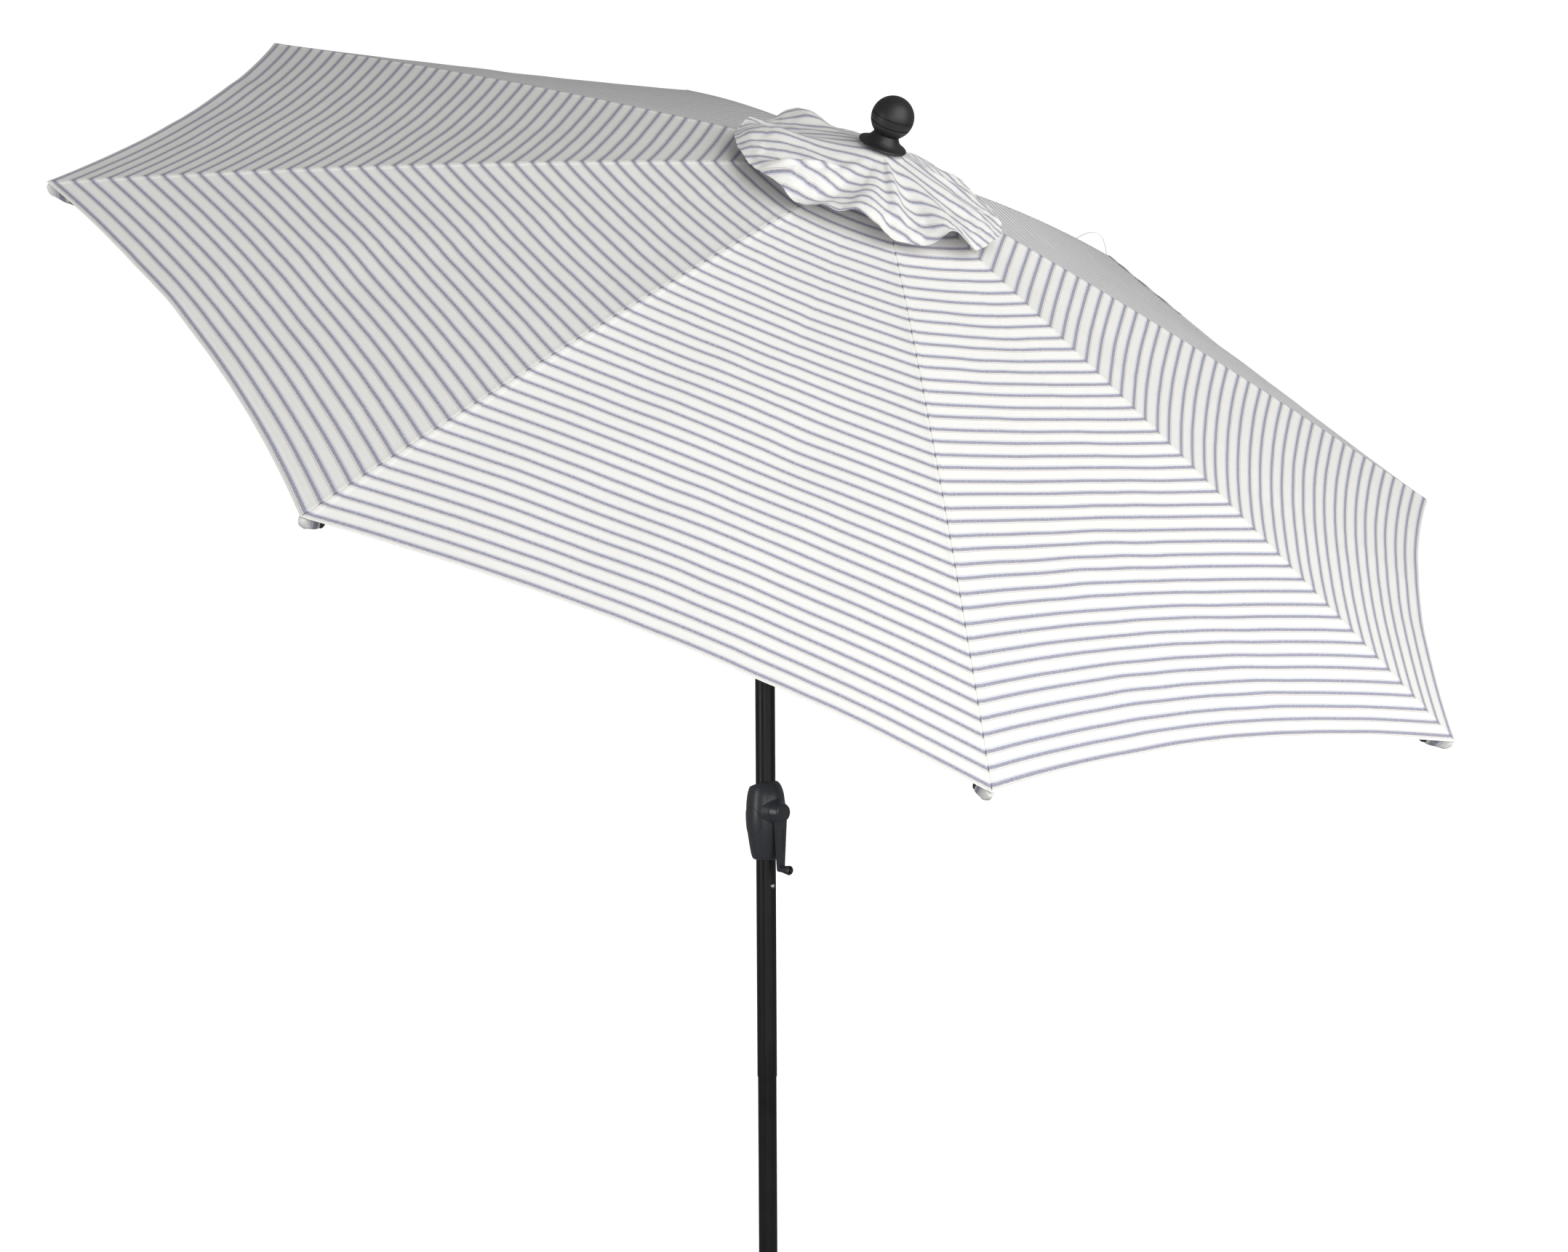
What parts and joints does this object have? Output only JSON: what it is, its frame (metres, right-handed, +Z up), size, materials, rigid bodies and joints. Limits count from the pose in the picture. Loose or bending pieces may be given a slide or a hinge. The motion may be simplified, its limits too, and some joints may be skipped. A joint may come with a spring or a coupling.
{
  "type": "market umbrella",
  "caption": "Tilting market umbrella with a crank lift: octagonal striped cloth canopy on hinged ribs and struts, a loose vent cap, a ball finial and a sleeved pole.",
  "frame": {"origin": "centre of the lower end of the pole, where the pole enters an umbrella base", "axes": "+Z up along the pole; the canopy leans towards +X about a hinge along Y; the crank faces +X"},
  "size_m": [2.1542, 2.5332, 2.5656],
  "materials": {
    "canopy_cloth": "plain woven off-white cloth with slate-blue ticking stripes",
    "pole_tube": "satin black powder coat",
    "rib_steel": "satin black powder coat",
    "moulded_plastic": "satin moulded black plastic",
    "finial": "satin black with turned grooves",
    "bright_steel": "zinc plated",
    "lift_cord": "braided"
  },
  "bodies": {
    "lower_frame": {"lower_pole": "pole_tube", "pole_foot_plug": "moulded_plastic", "middle_pole": "pole_tube", "snap_spring": "bright_steel", "knuckle_lower": "moulded_plastic", "tilt_pins": "bright_steel", "tilt_button_spring": "bright_steel", "crank_housing_left": "moulded_plastic", "crank_housing_right": "moulded_plastic", "housing_screws": "bright_steel", "lift_cord_lower": "lift_cord"},
    "canopy_frame": {"knuckle_upper": "moulded_plastic", "upper_pole": "pole_tube", "top_hub": "moulded_plastic", "hub_pins": "bright_steel", "pulley_axle": "bright_steel", "finial": "finial", "finial_stud": "bright_steel", "lift_cord_upper": "lift_cord", "lift_cord_return": "lift_cord"},
    "runner": {"runner": "moulded_plastic", "runner_collar": "moulded_plastic"},
    "pulley": {"cord_pulley": "moulded_plastic"},
    "crank": {"crank_arm": "moulded_plastic", "crank_cap": "moulded_plastic", "crank_shaft": "bright_steel", "cord_spool": "moulded_plastic", "cord_winding": "lift_cord", "knob_screw": "bright_steel"},
    "knob": {"crank_knob": "moulded_plastic"},
    "snap_button": {"snap_button": "bright_steel"},
    "tilt_button": {"tilt_button": "moulded_plastic"},
    "rib_1": {"rib_1": "rib_steel", "canopy_1": "canopy_cloth"},
    "strut_1": {"strut_1": "rib_steel"},
    "rib_2": {"rib_2": "rib_steel", "canopy_2": "canopy_cloth"},
    "strut_2": {"strut_2": "rib_steel"},
    "rib_3": {"rib_3": "rib_steel", "canopy_3": "canopy_cloth", "tie_strap": "canopy_cloth"},
    "strut_3": {"strut_3": "rib_steel"},
    "rib_4": {"rib_4": "rib_steel", "canopy_4": "canopy_cloth"},
    "strut_4": {"strut_4": "rib_steel"},
    "rib_5": {"rib_5": "rib_steel", "canopy_5": "canopy_cloth"},
    "strut_5": {"strut_5": "rib_steel"},
    "rib_6": {"rib_6": "rib_steel", "canopy_6": "canopy_cloth"},
    "strut_6": {"strut_6": "rib_steel"},
    "rib_7": {"rib_7": "rib_steel", "canopy_7": "canopy_cloth"},
    "strut_7": {"strut_7": "rib_steel"},
    "rib_8": {"rib_8": "rib_steel", "canopy_8": "canopy_cloth"},
    "strut_8": {"strut_8": "rib_steel"}
  },
  "joints": [
    {"name": "tilt_hinge", "type": "hinge", "parent": "lower_frame", "child": "canopy_frame", "pos_m": [0, 0, 1.7], "axis": [0, 1, 0], "range_deg": [-31.9, 0]},
    {"name": "runner_slide", "type": "slide", "parent": "canopy_frame", "child": "runner", "axis": [0.5284, 0, 0.849], "range_m": [-0.26271, 0], "deforming": ["lift_cord_return"]},
    {"name": "rib_hinge_1", "type": "hinge", "parent": "canopy_frame", "child": "rib_1", "pos_m": [0.34688, 0.01378, 2.19435], "axis": [-0.3249, 0.9239, 0.2022], "range_deg": [-0.2, 67.1], "deforming": ["canopy_1"]},
    {"name": "strut_hinge_1", "type": "hinge", "parent": "rib_1", "child": "strut_1", "pos_m": [0.47939, 0.09869, 2.01927], "axis": [-0.3249, 0.9239, 0.2022], "range_deg": [-116.25, 0.2]},
    {"name": "rib_hinge_2", "type": "hinge", "parent": "canopy_frame", "child": "rib_2", "pos_m": [0.33034, 0.03326, 2.20465], "axis": [-0.7843, 0.3827, 0.4882], "range_deg": [-0.2, 67.1], "deforming": ["canopy_2"]},
    {"name": "strut_hinge_2", "type": "hinge", "parent": "rib_2", "child": "strut_2", "pos_m": [0.36089, 0.23827, 2.09303], "axis": [-0.7843, 0.3827, 0.4882], "range_deg": [-116.25, 0.2]},
    {"name": "rib_hinge_3", "type": "hinge", "parent": "canopy_frame", "child": "rib_3", "pos_m": [0.30695, 0.03326, 2.21921], "axis": [-0.7843, -0.3827, 0.4882], "range_deg": [-0.2, 67.1], "deforming": ["canopy_3", "tie_strap"]},
    {"name": "strut_hinge_3", "type": "hinge", "parent": "rib_3", "child": "strut_3", "pos_m": [0.19331, 0.23827, 2.19734], "axis": [-0.7843, -0.3827, 0.4882], "range_deg": [-116.25, 0.2]},
    {"name": "rib_hinge_4", "type": "hinge", "parent": "canopy_frame", "child": "rib_4", "pos_m": [0.29041, 0.01378, 2.22951], "axis": [-0.3249, -0.9239, 0.2022], "range_deg": [-0.2, 67.1], "deforming": ["canopy_4"]},
    {"name": "strut_hinge_4", "type": "hinge", "parent": "rib_4", "child": "strut_4", "pos_m": [0.07482, 0.09869, 2.27109], "axis": [-0.3249, -0.9239, 0.2022], "range_deg": [-116.25, 0.2]},
    {"name": "rib_hinge_5", "type": "hinge", "parent": "canopy_frame", "child": "rib_5", "pos_m": [0.29041, -0.01378, 2.22951], "axis": [0.3249, -0.9239, -0.2022], "range_deg": [-0.2, 67.1], "deforming": ["canopy_5"]},
    {"name": "strut_hinge_5", "type": "hinge", "parent": "rib_5", "child": "strut_5", "pos_m": [0.07482, -0.09869, 2.27109], "axis": [0.3249, -0.9239, -0.2022], "range_deg": [-116.25, 0.2]},
    {"name": "rib_hinge_6", "type": "hinge", "parent": "canopy_frame", "child": "rib_6", "pos_m": [0.30695, -0.03326, 2.21921], "axis": [0.7843, -0.3827, -0.4882], "range_deg": [-0.2, 67.1], "deforming": ["canopy_6"]},
    {"name": "strut_hinge_6", "type": "hinge", "parent": "rib_6", "child": "strut_6", "pos_m": [0.19331, -0.23827, 2.19734], "axis": [0.7843, -0.3827, -0.4882], "range_deg": [-116.25, 0.2]},
    {"name": "rib_hinge_7", "type": "hinge", "parent": "canopy_frame", "child": "rib_7", "pos_m": [0.33034, -0.03326, 2.20465], "axis": [0.7843, 0.3827, -0.4882], "range_deg": [-0.2, 67.1], "deforming": ["canopy_7"]},
    {"name": "strut_hinge_7", "type": "hinge", "parent": "rib_7", "child": "strut_7", "pos_m": [0.36089, -0.23827, 2.09303], "axis": [0.7843, 0.3827, -0.4882], "range_deg": [-116.25, 0.2]},
    {"name": "rib_hinge_8", "type": "hinge", "parent": "canopy_frame", "child": "rib_8", "pos_m": [0.34688, -0.01378, 2.19435], "axis": [0.3249, 0.9239, -0.2022], "range_deg": [-0.2, 67.1], "deforming": ["canopy_8"]},
    {"name": "strut_hinge_8", "type": "hinge", "parent": "rib_8", "child": "strut_8", "pos_m": [0.47939, -0.09869, 2.01927], "axis": [0.3249, 0.9239, -0.2022], "range_deg": [-116.25, 0.2]},
    {"name": "pulley_spin", "type": "hinge", "parent": "canopy_frame", "child": "pulley", "pos_m": [0.33888, 0, 2.22172], "axis": [0, 1, 0], "range_deg": [-1255.36, 1]},
    {"name": "crank_turn", "type": "hinge", "parent": "lower_frame", "child": "crank", "pos_m": [0.045, 0, 1.037], "axis": [1, 0, 0], "range_deg": [-1255.36, 1]},
    {"name": "knob_spin", "type": "hinge", "parent": "crank", "child": "knob", "pos_m": [0.06, 0, 0.929], "axis": [1, 0, 0], "continuous": true},
    {"name": "snap_button_press", "type": "slide", "parent": "lower_frame", "child": "snap_button", "axis": [1, 0, 0], "range_m": [-0.005, 0], "stiffness_N_per_m": 600, "deforming": ["snap_spring"]},
    {"name": "tilt_button_press", "type": "slide", "parent": "lower_frame", "child": "tilt_button", "axis": [1, 0, 0], "range_m": [0, 0.004], "stiffness_N_per_m": 900, "deforming": ["tilt_button_spring"]}
  ],
  "couplings": [
    {"joint": "rib_hinge_1", "follows": "runner_slide", "rad_per_m": -4.4445},
    {"joint": "strut_hinge_1", "follows": "runner_slide", "rad_per_m": 7.7095},
    {"joint": "rib_hinge_2", "follows": "runner_slide", "rad_per_m": -4.4445},
    {"joint": "strut_hinge_2", "follows": "runner_slide", "rad_per_m": 7.7095},
    {"joint": "rib_hinge_3", "follows": "runner_slide", "rad_per_m": -4.4445},
    {"joint": "strut_hinge_3", "follows": "runner_slide", "rad_per_m": 7.7095},
    {"joint": "rib_hinge_4", "follows": "runner_slide", "rad_per_m": -4.4445},
    {"joint": "strut_hinge_4", "follows": "runner_slide", "rad_per_m": 7.7095},
    {"joint": "rib_hinge_5", "follows": "runner_slide", "rad_per_m": -4.4445},
    {"joint": "strut_hinge_5", "follows": "runner_slide", "rad_per_m": 7.7095},
    {"joint": "rib_hinge_6", "follows": "runner_slide", "rad_per_m": -4.4445},
    {"joint": "strut_hinge_6", "follows": "runner_slide", "rad_per_m": 7.7095},
    {"joint": "rib_hinge_7", "follows": "runner_slide", "rad_per_m": -4.4445},
    {"joint": "strut_hinge_7", "follows": "runner_slide", "rad_per_m": 7.7095},
    {"joint": "rib_hinge_8", "follows": "runner_slide", "rad_per_m": -4.4445},
    {"joint": "strut_hinge_8", "follows": "runner_slide", "rad_per_m": 7.7095},
    {"joint": "pulley_spin", "follows": "runner_slide", "rad_per_m": 83.333},
    {"joint": "crank_turn", "follows": "runner_slide", "rad_per_m": 83.333}
  ]
}
